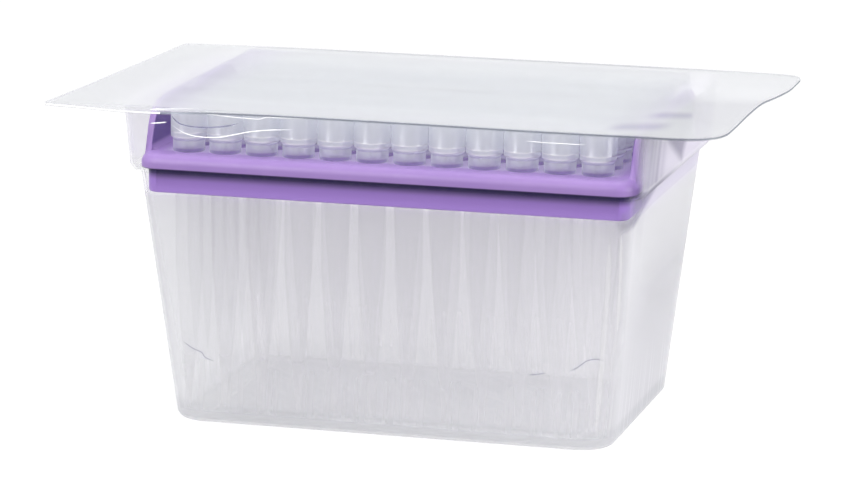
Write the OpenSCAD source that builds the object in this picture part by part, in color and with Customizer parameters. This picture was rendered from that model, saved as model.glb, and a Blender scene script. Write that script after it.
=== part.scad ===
// Sealed refill pack of pipette tips: a thermoformed tray with a wide flange,
// a thin film sealed over it, and a moulded plate that rests on the tray's
// ledge and holds the tips in columns of eight.
// Millimetres. The origin is the middle of the base, +Z is up.

/* [Tip plate] */
// Length over the plate's rounded lip
lip_length = 119.6; // [119.2:0.2:121.6]
// Depth over the plate's rounded lip
lip_depth = 79.8; // [79.4:0.2:81.8]
// Height of the lip, from its underside to the deck
lip_height = 3.6; // [3.2:0.1:4.4]
// Plan radius of the lip's corners
lip_corner = 4.6; // [4.4:0.1:5]
// How far the skirt stands back under the lip
skirt_inset = 1.7; // [1.6:0.1:2]
// How far the skirt reaches below the lip
skirt_drop = 5.8; // [4:0.2:7]
// Thickness of the deck
deck_thickness = 1.8; // [1.4:0.1:2]
// Height of the two end walls above the deck
end_wall_height = 10.8; // [8:0.1:11]
// Length of each end wall
end_wall_length = 60; // [50:1:66]
// Thickness of the end walls
end_wall_thickness = 1.6; // [1.2:0.1:1.8]

/* [Tips] */
// Diameter of a tip's collar
collar_diameter = 8.6; // [8:0.1:8.7]
// Height of a tip's collar rim above the deck
collar_height = 10.5; // [9:0.1:11]
// Height of the narrower neck that stands on the deck
neck_height = 3.2; // [2:0.1:4]
// Diameter of the tip's body just under the deck
body_diameter = 6.6; // [6:0.1:6.8]
// Wall thickness of a tip
tip_wall = 0.5; // [0.4:0.05:0.6]

/* [Tray] */
// Height of the tray, from its foot to the top of the flange
tray_height = 77.5; // [77.2:0.1:79]
// Height of the ledge that carries the plate
ledge_height = 61.7; // [61:0.1:61.9]
// Sheet thickness
tray_wall = 0.6; // [0.4:0.05:0.7]
// How much the side walls lean in from ledge to foot, at each end
end_draft = 6.1; // [5:0.1:6.6]
// How much the front and back walls lean in from ledge to foot
side_draft = 4.9; // [3:0.1:5]
// Radius between the walls and the foot
foot_radius = 2; // [1.2:0.1:3]
// How far the shoulder above the ledge steps out
shoulder_step = 2.7; // [2.2:0.1:3]
// Height of the raised floor panel
panel_rise = 1.2; // [1:0.1:2.4]

/* [Flange and film] */
// Length of the flange and film
flange_length = 166.4; // [150:0.2:172]
// Depth of the flange and film
flange_depth = 95.2; // [93:0.2:110]
// Plan radius of the flange's corners
flange_corner = 9; // [8:0.5:20]
// Thickness of the film
film_thickness = 0.2; // [0.1:0.05:0.3]

/* [Fits] */
// Gap round a tip's body in its hole
hole_gap = 0.3; // [0.2:0.05:0.35]
// How far the lip overlaps the inside of the tray wall at the ledge
ledge_hold = 0.7; // [0.5:0.05:0.9]
// Gap between the tips' ends and the floor panel
floor_gap = 2.2; // [0.5:0.1:2.4]

/* [Hidden] */
$fn = 48;
pitch = 9;
columns = 12;
rows = 8;

// Plate levels and half sizes
deck_z = ledge_height + lip_height;
skirt_z = ledge_height - skirt_drop;
lip_x = lip_length / 2;
lip_y = lip_depth / 2;
lip_crown = 2.4;
lip_foot = 0.4;
skirt_wall = 1.2;
skirt_r = lip_corner - skirt_inset;
hole_r = body_diameter / 2 + hole_gap;
rib_width = 1;
rib_height = 2.2;
end_wall_setback = 0.5;
end_wall_corner = 5;
end_wall_dip = 1.2;
dip_half_width = 8;
dip_r = (pow(dip_half_width, 2) + pow(end_wall_dip, 2)) / (2 * end_wall_dip);
wall_fillet = 1;

// Tip levels and radii
tip_z = panel_rise + tray_wall + floor_gap;
neck_z = deck_z + neck_height;
rim_z = deck_z + collar_height;
collar_r = collar_diameter / 2;
neck_r = collar_r - 0.3;
body_r = body_diameter / 2;
knee_z = ledge_height * 0.625;
knee_r = body_r - 0.05;
cone_z = ledge_height * 0.34;
cone_r = body_r * 0.62;
point_z = ledge_height * 0.17;
point_r = body_r * 0.34;
end_r = 0.6;
rim_wall = 0.6;

// Tray levels and half sizes, all on the outside of the sheet
wall_top_x = lip_x - ledge_hold + tray_wall;
wall_top_y = lip_y - ledge_hold + tray_wall;
wall_top_r = 4;
bend_z = ledge_height - tray_wall;
foot_x = wall_top_x - end_draft;
foot_y = wall_top_y - side_draft;
foot_r = 8.6;
shoulder_x = wall_top_x + shoulder_step;
shoulder_y = wall_top_y + shoulder_step;
shoulder_z = bend_z + 2.4;
mouth_flare = 1.1;
flange_z = tray_height - tray_wall;
panel_inset = 8;
panel_slope = 1.4;
panel_corner = 4;
corner_steps = 8;
bend_steps = 5;

// ---- tray -------------------------------------------------------------

// A station of the tray's section: half length, half depth, corner radius, height
function grown(x, y, r, d, z) = [x + d, y + d, r + d, z];

// How far up the lower wall a height lies, from the foot to the ledge
function climb(z) = z / bend_z;

function wall_at(z) = [
    foot_x + end_draft * climb(z),
    foot_y + side_draft * climb(z),
    foot_r + (wall_top_r - foot_r) * climb(z),
    z
];

// The outside of the sheet, from the floor panel's edge to the flange's edge
function outer_section() =
    let (w = wall_at(foot_radius))
    concat(
        [grown(w[0], w[1], panel_corner + panel_inset, -panel_inset - panel_slope,
               panel_rise)],
        [grown(w[0], w[1], panel_corner + panel_inset, -panel_inset, 0)],
        [
            for (i = [0:bend_steps])
                let (a = 90 * i / bend_steps)
                grown(w[0], w[1], w[2], -foot_radius * (1 - sin(a)),
                      foot_radius * (1 - cos(a)))
        ],
        [
            wall_at(bend_z / 2),
            wall_at(bend_z - 0.7),
            grown(wall_top_x, wall_top_y, wall_top_r, 0.1, bend_z - 0.25),
            grown(wall_top_x, wall_top_y, wall_top_r, 0.4, bend_z),
            grown(wall_top_x, wall_top_y, wall_top_r, 1.2, bend_z),
            grown(wall_top_x, wall_top_y, wall_top_r, 1.7, bend_z + 0.3),
            grown(shoulder_x, shoulder_y, wall_top_r + shoulder_step, -0.3, bend_z + 1.4),
            grown(shoulder_x, shoulder_y, wall_top_r + shoulder_step, 0, shoulder_z),
            grown(shoulder_x, shoulder_y, wall_top_r + shoulder_step,
                  mouth_flare, flange_z - 0.8),
            grown(shoulder_x, shoulder_y, wall_top_r + shoulder_step,
                  mouth_flare + 0.25, flange_z - 0.25),
            grown(shoulder_x, shoulder_y, wall_top_r + shoulder_step,
                  mouth_flare + 0.8, flange_z),
            [flange_length / 2, flange_depth / 2, flange_corner, flange_z]
        ]
    );

function unit(v) = v / norm(v);

// A step from one station to the next, turned to point into the tray
function inward(a, b) = let (u = unit([b[0] - a[0], b[3] - a[3]])) [-u[1], u[0]];

// The inside of the sheet: every station moved in by the sheet's thickness
function inner_section(s) = [
    for (i = [0:len(s) - 2])
        let (before = i == 0 ? [0, 1] : inward(s[i - 1], s[i]))
        let (after = inward(s[i], s[i + 1]))
        let (m = (before + after) * tray_wall / (1 + before * after))
        grown(s[i][0], s[i][1], s[i][2], m[0], s[i][3] + m[1])
];

function reversed(list) = [for (i = [len(list) - 1:-1:0]) list[i]];

// A rounded rectangle of one station, counter-clockwise
function ring(s) = [
    for (q = [0:3])
        for (i = [0:corner_steps])
            let (a = 90 * (q + i / corner_steps))
            [
                (q == 0 || q == 3 ? 1 : -1) * (s[0] - s[2]) + s[2] * cos(a),
                (q < 2 ? 1 : -1) * (s[1] - s[2]) + s[2] * sin(a),
                s[3]
            ]
];

// A closed skin through a list of stations, with its two ends filled in
module loft(stations) {
    n = 4 * (corner_steps + 1);
    last = len(stations) - 1;
    polyhedron(
        points = [for (s = stations) for (p = ring(s)) p],
        faces = concat(
            [[for (i = [0:n - 1]) i]],
            [
                for (k = [0:last - 1]) for (i = [0:n - 1])
                    let (j = (i + 1) % n)
                    [k * n + i, (k + 1) * n + i, (k + 1) * n + j, k * n + j]
            ],
            [[for (i = [n - 1:-1:0]) last * n + i]]
        )
    );
}

module tray() {
    outside = outer_section();
    rim = [flange_length / 2, flange_depth / 2, flange_corner, tray_height];
    color([0.88, 0.90, 0.92, 0.35])
        loft(concat(outside, [rim], reversed(inner_section(outside))));
}

// ---- film -------------------------------------------------------------

module rounded_plate(x, y, r) {
    square([2 * (x - r), 2 * y], center = true);
    square([2 * x, 2 * (y - r)], center = true);
    for (sx = [-1, 1], sy = [-1, 1])
        translate([sx * (x - r), sy * (y - r)]) circle(r);
}

module lid_film() {
    color([0.94, 0.94, 0.97, 0.5])
        translate([0, 0, tray_height])
            linear_extrude(film_thickness)
                rounded_plate(flange_length / 2, flange_depth / 2, flange_corner);
}

// ---- tip plate --------------------------------------------------------

// Section of the rim, from the line where it meets the flat deck outwards:
// the crowned lip, with the skirt hanging under it
module rim_section() {
    crown_x = lip_corner - lip_crown;
    crown_z = deck_z - lip_crown;
    inner_x = skirt_r - skirt_wall;
    translate([0, deck_z - deck_thickness]) square([crown_x, deck_thickness]);
    translate([inner_x, ledge_height]) square([crown_x - inner_x, lip_height]);
    intersection() {
        translate([crown_x, crown_z]) circle(lip_crown);
        translate([crown_x, crown_z]) square(lip_crown);
    }
    translate([inner_x, ledge_height + lip_foot])
        square([lip_corner - inner_x, crown_z - ledge_height - lip_foot]);
    translate([inner_x, ledge_height])
        square([lip_corner - lip_foot - inner_x, 2 * lip_foot]);
    translate([lip_corner - lip_foot, ledge_height + lip_foot]) circle(lip_foot);
    translate([inner_x, skirt_z + skirt_wall / 2])
        square([skirt_wall, skirt_drop]);
    translate([inner_x + skirt_wall / 2, skirt_z + skirt_wall / 2])
        circle(skirt_wall / 2);
}

module rim() {
    run_x = lip_x - lip_corner;
    run_y = lip_y - lip_corner;
    for (side = [0, 180]) rotate(side) {
        translate([run_x, run_y]) rotate_extrude(angle = 90) rim_section();
        translate([-run_x, run_y]) rotate(90) rotate_extrude(angle = 90) rim_section();
        translate([run_x, 0]) rotate([90, 0, 0])
            linear_extrude(2 * run_y, center = true) rim_section();
        translate([0, run_y]) rotate([90, 0, 90])
            linear_extrude(2 * run_x, center = true) rim_section();
    }
}

// Runs its child at every tip's place
module at_tips(cols = [0:columns - 1]) {
    for (c = cols, r = [0:rows - 1])
        translate([(c - (columns - 1) / 2) * pitch, (r - (rows - 1) / 2) * pitch])
            children();
}

module deck() {
    translate([0, 0, deck_z - deck_thickness])
        linear_extrude(deck_thickness)
            difference() {
                square([2 * (lip_x - lip_corner), 2 * (lip_y - lip_corner)],
                       center = true);
                at_tips() circle(hole_r);
            }
}

// Ribs under the deck, between the holes both ways
module deck_ribs() {
    reach_x = 2 * (lip_x - skirt_inset - skirt_wall / 2);
    reach_y = 2 * (lip_y - skirt_inset - skirt_wall / 2);
    translate([0, 0, deck_z - deck_thickness - rib_height])
        linear_extrude(rib_height + deck_thickness / 2) {
            for (c = [1:columns - 1])
                translate([(c - columns / 2) * pitch, 0])
                    square([rib_width, reach_y], center = true);
            for (r = [1:rows - 1])
                translate([0, (r - rows / 2) * pitch])
                    square([reach_x, rib_width], center = true);
        }
}

// Outline of an end wall, seen from its end of the plate
module end_wall_outline() {
    half = end_wall_length / 2;
    r = end_wall_corner;
    difference() {
        union() {
            translate([-half, -1.5]) square([2 * half, 1.5 + end_wall_height - r]);
            translate([r - half, 0]) square([2 * (half - r), end_wall_height]);
            for (s = [-1, 1])
                translate([s * (half - r), end_wall_height - r]) circle(r);
        }
        translate([0, end_wall_height - end_wall_dip + dip_r])
            circle(dip_r, $fn = 180);
    }
}

module end_walls() {
    outer_x = lip_x - end_wall_setback;
    inner_x = outer_x - end_wall_thickness;
    for (side = [0, 180]) rotate(side) {
        translate([inner_x, 0, deck_z]) rotate([90, 0, 90])
            linear_extrude(end_wall_thickness) end_wall_outline();
        translate([inner_x, 0, deck_z]) rotate([90, 0, 0])
            linear_extrude(end_wall_length - 2, center = true)
                polygon([[-wall_fillet, -0.2], [0.4, -0.2], [0.4, wall_fillet],
                         [0, wall_fillet], [-wall_fillet, 0]]);
    }
}

module tip_plate() {
    color([0.64, 0.50, 0.82]) {
        deck();
        rim();
        deck_ribs();
        end_walls();
    }
}

// ---- tips -------------------------------------------------------------

// Half section of one tip: up the outside, then down the bore
module tip_section() {
    polygon([
        [end_r - 0.25, tip_z], [end_r, tip_z],
        [point_r, point_z], [cone_r, cone_z], [knee_r, knee_z],
        [body_r, deck_z], [neck_r, deck_z], [neck_r, neck_z],
        [collar_r, neck_z + 0.2], [collar_r, rim_z - 0.4],
        [collar_r - 0.2, rim_z], [collar_r - rim_wall, rim_z],
        [collar_r - rim_wall - 0.2, neck_z + 1],
        [body_r - tip_wall, deck_z - 2], [knee_r - tip_wall, knee_z],
        [cone_r - tip_wall, cone_z], [point_r - tip_wall, point_z]
    ]);
}

module tips_column(number) {
    color([0.84, 0.84, 0.92, 0.6])
        at_tips([number - 1:number - 1]) rotate_extrude() tip_section();
}

tray();
lid_film();
tip_plate();
tips_column(1);  // tips_column_01
tips_column(2);  // tips_column_02
tips_column(3);  // tips_column_03
tips_column(4);  // tips_column_04
tips_column(5);  // tips_column_05
tips_column(6);  // tips_column_06
tips_column(7);  // tips_column_07
tips_column(8);  // tips_column_08
tips_column(9);  // tips_column_09
tips_column(10);  // tips_column_10
tips_column(11);  // tips_column_11
tips_column(12);  // tips_column_12
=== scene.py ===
import math
import bmesh
import bpy
import numpy as np
from mathutils import Matrix, Vector, noise


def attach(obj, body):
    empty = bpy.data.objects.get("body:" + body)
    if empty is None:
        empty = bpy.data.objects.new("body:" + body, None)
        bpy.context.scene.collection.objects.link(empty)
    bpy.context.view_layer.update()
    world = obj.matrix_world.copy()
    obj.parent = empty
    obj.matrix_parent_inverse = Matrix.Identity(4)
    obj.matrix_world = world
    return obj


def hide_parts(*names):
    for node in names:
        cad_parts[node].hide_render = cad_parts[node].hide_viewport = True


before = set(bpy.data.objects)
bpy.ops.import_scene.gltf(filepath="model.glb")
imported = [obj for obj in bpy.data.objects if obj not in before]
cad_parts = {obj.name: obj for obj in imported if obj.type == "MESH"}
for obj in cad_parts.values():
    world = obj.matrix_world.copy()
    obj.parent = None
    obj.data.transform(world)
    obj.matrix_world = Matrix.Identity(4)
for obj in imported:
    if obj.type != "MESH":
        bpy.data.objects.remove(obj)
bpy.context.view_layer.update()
mm = 0.001
scene = bpy.context.scene
print("frame loaded:", len(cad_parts), "nodes")


shot = {
    "yaw": 15.21,            # degrees round to the right end
    "elevation": 11.96,
    "roll": 0.52,
    "distance": 1.01295,
    "target": (-0.00016, 0.0, 0.03925),
    "lens": 177.71,
    "sensor": 36.0,
}
studio = {
    "skyTint": (0.98, 0.98, 1.0),
    "skyLight": 0.38,        # what the world gives as light
    "backdrop": 1.0,         # what it looks like
    "floorTone": 0.26,       # share of the floor that takes light and shadow
    "floorGlow": 0.82,
    "floorBounce": 0.16,
    "floorSize": 6.0,
    "clearLayers": 46,       # sheets and tips that a ray passes before it stops
    "bounces": 5,
    "aim": (0, 0, 0.04),     # where the lamps point
    "lamps": [
        # name, place, size, watts
        ("keyLamp", (-0.66, -1.02, 0.75), 1.0, 12.6),
        ("topLamp", (0.05, 0.05, 1.35), 1.0, 7.5),
        ("sideLamp", (1.35, -0.10, 0.40), 0.8, 16.0),
    ],
}


def addObject(name, data):
    added = bpy.data.objects.new(name, data)
    scene.collection.objects.link(added)
    return added


def smoothed(mesh, angle):
    mesh.polygons.foreach_set("use_smooth", [True] * len(mesh.polygons))
    mesh.set_sharp_from_angle(angle=math.radians(angle))


def nodeTree(owner):
    owner.use_nodes = True
    tree = owner.node_tree
    tree.nodes.clear()
    return tree


def addNode(tree, kind, values=None, **settings):
    # a value that is a socket is linked, any other is set
    node = tree.nodes.new(kind)
    for key, value in settings.items():
        setattr(node, key, value)
    for key, value in (values or {}).items():
        if isinstance(value, bpy.types.NodeSocket):
            tree.links.new(value, node.inputs[key])
        else:
            node.inputs[key].default_value = value
    return node


def mathNode(tree, operation, *values, clamp=False):
    return addNode(tree, "ShaderNodeMath", dict(enumerate(values)), operation=operation,
                   use_clamp=clamp).outputs[0]


def chained(operation):
    def run(tree, *values):
        result = values[0]
        for value in values[1:]:
            result = mathNode(tree, operation, result, value)
        return result
    return run


product, total, largest = (chained(name) for name in ("MULTIPLY", "ADD", "MAXIMUM"))


def makeCamera():
    data = bpy.data.cameras.new("shotCamera")
    data.lens = shot["lens"]
    data.sensor_width = shot["sensor"]
    data.clip_end = 20
    camera = addObject("shotCamera", data)
    yaw, rise, roll = (math.radians(shot[k]) for k in ("yaw", "elevation", "roll"))
    back = Vector((math.sin(yaw) * math.cos(rise), -math.cos(yaw) * math.cos(rise),
                   math.sin(rise)))
    right = Vector((math.cos(yaw), math.sin(yaw), 0))
    up = back.cross(right)
    turnedRight = right * math.cos(roll) + up * math.sin(roll)
    turnedUp = up * math.cos(roll) - right * math.sin(roll)
    place = Vector(shot["target"]) + back * shot["distance"]
    turn = Matrix((turnedRight, turnedUp, back)).transposed().to_4x4()
    camera.matrix_world = Matrix.Translation(place) @ turn
    scene.camera = camera


def directView(tree):
    # 1 for a ray that shows the background: seen straight, mirrored or through glass
    path = addNode(tree, "ShaderNodeLightPath")
    return largest(tree, *(path.outputs[f"Is {kind} Ray"]
                           for kind in ("Camera", "Glossy", "Transmission")))


def mixShaders(tree, share, first, second):
    return addNode(tree, "ShaderNodeMixShader",
                   {0: share, 1: first.outputs[0], 2: second.outputs[0]})


def makeWorld():
    scene.world = bpy.data.worlds.new("paleStudio")
    tree = nodeTree(scene.world)
    lightPart = addNode(tree, "ShaderNodeBackground",
                        {"Color": (*studio["skyTint"], 1), "Strength": studio["skyLight"]})
    seenPart = addNode(tree, "ShaderNodeBackground",
                       {"Color": (1, 1, 1, 1), "Strength": studio["backdrop"]})
    mix = mixShaders(tree, directView(tree), lightPart, seenPart)
    addNode(tree, "ShaderNodeOutputWorld", {"Surface": mix.outputs[0]})


def makeFloor():
    half = studio["floorSize"] / 2
    mesh = bpy.data.meshes.new("floor")
    mesh.from_pydata([(-half, -half, 0), (half, -half, 0), (half, half, 0), (-half, half, 0)],
                     [], [(0, 1, 2, 3)])
    floor = addObject("floor", mesh)
    material = bpy.data.materials.new("paleFloor")
    tree = nodeTree(material)
    matt = addNode(tree, "ShaderNodeBsdfDiffuse", {"Color": (studio["floorTone"],) * 3 + (1,)})
    glow = addNode(tree, "ShaderNodeEmission",
                   {"Color": (1, 1, 1, 1), "Strength": studio["floorGlow"]})
    both = addNode(tree, "ShaderNodeAddShader", {0: matt.outputs[0], 1: glow.outputs[0]})
    plain = addNode(tree, "ShaderNodeBsdfDiffuse", {"Color": (studio["floorBounce"],) * 3 + (1,)})
    mix = mixShaders(tree, directView(tree), plain, both)
    addNode(tree, "ShaderNodeOutputMaterial", {"Surface": mix.outputs[0]})
    mesh.materials.append(material)


def makeLamps():
    for name, place, size, watts in studio["lamps"]:
        data = bpy.data.lights.new(name, "AREA")
        data.shape = "DISK"
        data.size = size
        data.energy = watts
        lamp = addObject(name, data)
        lamp.location = place
        aim = Vector(studio["aim"]) - Vector(place)
        lamp.rotation_euler = aim.to_track_quat("-Z", "Y").to_euler()


makeCamera()
makeWorld()
makeFloor()
makeLamps()
scene.view_settings.view_transform = "Standard"
scene.cycles.transparent_max_bounces = studio["clearLayers"]
scene.cycles.max_bounces = studio["bounces"]
print("camera, lamps and floor ready")


def objectPoint(tree):
    return addNode(tree, "ShaderNodeTexCoord").outputs["Object"]


def noiseNode(tree, point, scale, stretch=(1, 1, 1), detail=2.0, roughness=0.5, kind="3D"):
    spread = addNode(tree, "ShaderNodeMapping", {"Vector": point, "Scale": stretch})
    return addNode(tree, "ShaderNodeTexNoise",
                   {"Vector": spread.outputs[0], "Scale": scale, "Detail": detail,
                    "Roughness": roughness}, noise_dimensions=kind).outputs["Fac"]


def lineNoise(tree, value, scale, detail=0.0):
    # noise along one coordinate only, for lines that run the other way
    return addNode(tree, "ShaderNodeTexNoise", {"W": value, "Scale": scale, "Detail": detail},
                   noise_dimensions="1D").outputs["Fac"]


def ramp(tree, value, low, high, outLow=0.0, outHigh=1.0):
    places = {"Value": value, "From Min": low, "From Max": high,
              "To Min": outLow, "To Max": outHigh}
    return addNode(tree, "ShaderNodeMapRange", places, interpolation_type="SMOOTHSTEP").outputs[0]


def bumpNode(tree, height, strength, distance):
    return addNode(tree, "ShaderNodeBump", {"Height": height, "Strength": strength,
                                            "Distance": distance}).outputs[0]


def blend(tree, factor, *colours):
    # each of the two colours is fixed, or a socket that gives one
    first, second = ((*c, 1) if isinstance(c, tuple) else c for c in colours)
    return addNode(tree, "ShaderNodeMix", {"Factor": factor, 6: first, 7: second},
                   data_type="RGBA").outputs[2]


def splitPoint(tree, point):
    parts = addNode(tree, "ShaderNodeSeparateXYZ", {0: point})
    return parts.outputs["X"], parts.outputs["Y"], parts.outputs["Z"]


def away(tree, value):
    # how far a place lies from the middle plane, on either side
    return mathNode(tree, "ABSOLUTE", value)


def band(tree, value, middle, reach):
    # 1 at the middle, 0 from its reach outwards
    distance = away(tree, mathNode(tree, "SUBTRACT", value, middle))
    return ramp(tree, distance, 0.0, reach, 1.0, 0.0)


def edgeWeight(tree, power):
    # 0 where the sheet faces the eye, 1 where it is seen edge on
    weight = addNode(tree, "ShaderNodeLayerWeight", {"Blend": 0.5})
    return mathNode(tree, "POWER", weight.outputs["Facing"], power)


def sheetMaterial(name, clear, clearEdge, body, veil, veilEdge, glossShare, roughness=0.3,
                  gloss=(1.0, 1.0, 1.0), edgePower=1.0, passing=0.5,
                  bump=None, change=None, tint=None, thinner=None):
    # a thin plastic sheet: what passes straight through, and a veil of body and gloss
    material = bpy.data.materials.new(name)
    tree = nodeTree(material)
    point = objectPoint(tree)
    bumped = {"Normal": bump(tree, point)} if bump else {}
    edge = edgeWeight(tree, edgePower)
    factor = mathNode(tree, "MULTIPLY_ADD", edge, veilEdge - veil, veil)
    if change:
        factor = change(tree, point, factor)
    through = addNode(tree, "ShaderNodeBsdfTransparent",
                      {"Color": blend(tree, edge, clear, clearEdge)})
    colour = tint(tree, point, body) if tint else (*body, 1)
    matt = addNode(tree, "ShaderNodeBsdfDiffuse", {"Color": colour, **bumped})
    behind = addNode(tree, "ShaderNodeBsdfTranslucent", {"Color": colour, **bumped})
    shine = addNode(tree, "ShaderNodeBsdfGlossy",
                    {"Color": (*gloss, 1), "Roughness": roughness, **bumped})
    halves = mixShaders(tree, thinner(tree, point, passing) if thinner else passing, matt, behind)
    veiled = mixShaders(tree, glossShare, halves, shine)
    mix = mixShaders(tree, factor, through, veiled)
    addNode(tree, "ShaderNodeOutputMaterial", {"Surface": mix.outputs[0]})
    return material


trayLook = {
    # each pair of places, in metres, is where a look starts and where it is full
    "drawLines": 420,                   # scale of the fine lines along the walls
    "linesFrom": (0.003, 0.008),
    "lineStrength": 0.12,
    "lineDepth": 0.0002,
    "streakLines": 700,
    "streakCut": (0.50, 0.70),
    "streakHeight": (0.022, 0.004),
    "streaks": 0.09,
    "hazeHeight": (0.0565, 0.0552),
    "haze": 0.30,
    "footEnds": (0.0435, 0.0455),       # the foot is a ring: its inner edge along x
    "footSides": (0.0255, 0.0270),      # and along y
    "footHeight": (0.0045, 0.0022),
    "foot": 0.55,
    "footDepth": (0.020, 0.0),
    "footAtBack": 0.2,
    # painted glare at the right end: haze on its ledge, on its upper wall and below the ledge
    "ledge": (0.0622, 0.0020),          # height of the ledge's middle, and its reach
    "ledgeEnd": (0.0595, 0.0615),
    "ledgeDepth": (-0.0380, -0.0340),
    "ledgeHaze": 0.3,
    "upperEnd": (0.0600, 0.0622),
    "upperHeight": (0.0612, 0.0622),
    "upperHaze": 0.5,
    "leftEnd": (-0.0580, -0.0610),
    "leftHeight": (0.0620, 0.0630),
    "leftHaze": 0.2,
    "underEnd": (0.0560, 0.0575),       # the right end below the ledge
    "underHeight": (0.0150, 0.0500),
    "underTop": (0.0622, 0.0612),
    "underDepth": (-0.034, -0.012),
    "underHaze": (0.12, 0.5),
    "seamSides": (0.0375, 0.0385),      # the long sides stay clear beside the plate's edge
    "seamLength": (0.0620, 0.0605),
    "seamFoot": (0.0570, 0.0590),
    "seamTop": (0.0670, 0.0640),
    "seamClear": 0.98,
    "brimHeight": (0.0762, 0.0768),
    "brimVeil": 0.3,
    "thinnerEnd": (0.0560, 0.0595),
    "thinnerPassing": 0.6,
    "greyLeft": (-0.058, -0.018),       # painted shade in front of the tips
    "greyRight": (0.058, 0.050),
    "grey": (0.925, 0.915, 0.94),
    # painted shade at the foot
    "greyFootHeight": (0.0060, 0.0040),
    "greyFoot": (0.83, 0.83, 0.85),
    "lilac": (0.33, 0.31, 0.42),        # the plate's colour, painted into the right end for the plate seen through the wall
    "lilacLines": 170,
    "lilacCut": (0.35, 0.65),
    "lilacDepth": (-0.0140, -0.0340),
    "lilacNear": 0.95,
    "lilacEnd": (0.0600, 0.0612),
    "lilacHeight": (0.0615, 0.0625),
    "wedgeLean": 0.83,
    "wedgeMiddle": 0.0532,
    "wedgeSpread": -1.6,
    "wedgeEdge": (-0.0980, -0.1060),
    "wedge": 0.9,
    "lowDepth": (0.0040, -0.0300),
    "lowTop": (0.0640, 0.0625),
    "lowLean": -0.25,
    "lowFoot": (0.0620, 0.0645),
    "lowEnd": (0.0550, 0.0570),
}


def trayBump(tree, point):
    # fine draw lines on the walls, none on the floor
    look = trayLook
    x, y, z = splitPoint(tree, point)
    lines = lineNoise(tree, total(tree, x, y), look["drawLines"])
    return bumpNode(tree, product(tree, lines, ramp(tree, z, *look["linesFrom"])),
                    look["lineStrength"], look["lineDepth"])


def trayVeil(tree, point, factor):
    # streaks and haze on the walls, the foot and the left end, haze at the right end as painted
    # glare, a clear seam, a clearer flange
    look = trayLook
    x, y, z = splitPoint(tree, point)
    low = ramp(tree, z, *look["streakHeight"], 0.0, look["streaks"])
    lines = lineNoise(tree, total(tree, x, y), look["streakLines"])
    cut = ramp(tree, lines, *look["streakCut"])
    veiled = mathNode(tree, "MULTIPLY_ADD", cut, low, factor)
    veiled = total(tree, veiled, ramp(tree, z, *look["hazeHeight"], 0.0, look["haze"]))
    ring = largest(tree, ramp(tree, away(tree, x), *look["footEnds"]),
                   ramp(tree, away(tree, y), *look["footSides"]))
    foot = product(tree, ramp(tree, z, *look["footHeight"], 0.0, look["foot"]), ring,
                   ramp(tree, y, *look["footDepth"], look["footAtBack"], 1.0))
    # painted glare: extra haze on the right end's ledge, upper wall and below the ledge
    ledge = product(tree, band(tree, z, *look["ledge"]),
                    ramp(tree, x, *look["ledgeEnd"], 0.0, look["ledgeHaze"]),
                    ramp(tree, y, *look["ledgeDepth"]))
    upper = product(tree, ramp(tree, x, *look["upperEnd"]),
                    ramp(tree, z, *look["upperHeight"], 0.0, look["upperHaze"]))
    left = product(tree, ramp(tree, x, *look["leftEnd"]),
                   ramp(tree, z, *look["leftHeight"], 0.0, look["leftHaze"]))
    under = product(tree, ramp(tree, x, *look["underEnd"]),
                    ramp(tree, z, *look["underHeight"]), ramp(tree, z, *look["underTop"]),
                    ramp(tree, y, *look["underDepth"], *look["underHaze"]))
    veiled = total(tree, largest(tree, veiled, foot), upper, ledge, left, under)
    seam = product(tree, ramp(tree, z, *look["seamFoot"]), ramp(tree, z, *look["seamTop"]),
                   ramp(tree, away(tree, y), *look["seamSides"]),
                   ramp(tree, away(tree, x), *look["seamLength"]))
    keep = mathNode(tree, "MULTIPLY_ADD", seam, -look["seamClear"], 1.0)
    brim = ramp(tree, z, *look["brimHeight"], 1.0, look["brimVeil"])
    return mathNode(tree, "MULTIPLY", veiled, product(tree, keep, brim), clamp=True)


def trayThinner(tree, point, passing):
    # the right end lets less light through, so that the plate behind colours it less
    x = splitPoint(tree, point)[0]
    return ramp(tree, x, *trayLook["thinnerEnd"], passing, trayLook["thinnerPassing"])


def trayTint(tree, point, body):
    # the plate's colour is painted into the right end, nearest the front, in one wedge and low
    # down, for the plate seen through the wall;
    # the walls are painted greyer in front of the tips, and so is the foot, as shade
    look = trayLook
    x, y, z = splitPoint(tree, point)
    # painted shade: the walls greyer in front of the tips and at the foot
    middle = product(tree, ramp(tree, x, *look["greyLeft"]), ramp(tree, x, *look["greyRight"]))
    hazed = blend(tree, middle, body, look["grey"])
    footed = blend(tree, ramp(tree, z, *look["greyFootHeight"]), hazed, look["greyFoot"])
    streaks = lineNoise(tree, y, look["lilacLines"], 1.0)
    streaks = ramp(tree, streaks, *look["lilacCut"], 0.5, 1.0)
    near = product(tree, ramp(tree, y, *look["lilacDepth"], 0.0, look["lilacNear"]), streaks)
    across = mathNode(tree, "SUBTRACT", mathNode(tree, "MULTIPLY_ADD", z, look["wedgeLean"], y),
                      look["wedgeMiddle"])
    wide = mathNode(tree, "MULTIPLY_ADD", z, look["wedgeSpread"], away(tree, across))
    wedge = ramp(tree, wide, *look["wedgeEdge"], 0.0, look["wedge"])
    slant = mathNode(tree, "MULTIPLY_ADD", y, look["lowLean"], z)
    low = product(tree, ramp(tree, y, *look["lowDepth"]), ramp(tree, z, *look["lowTop"]),
                  ramp(tree, slant, *look["lowFoot"]), ramp(tree, x, *look["lowEnd"]))
    ledge = mathNode(tree, "SUBTRACT", 1.0, band(tree, z, *look["ledge"]))
    share = product(tree, largest(tree, near, wedge), ledge,
                    ramp(tree, x, *look["lilacEnd"]), ramp(tree, z, *look["lilacHeight"]))
    return blend(tree, largest(tree, share, low), footed, look["lilac"])


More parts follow.
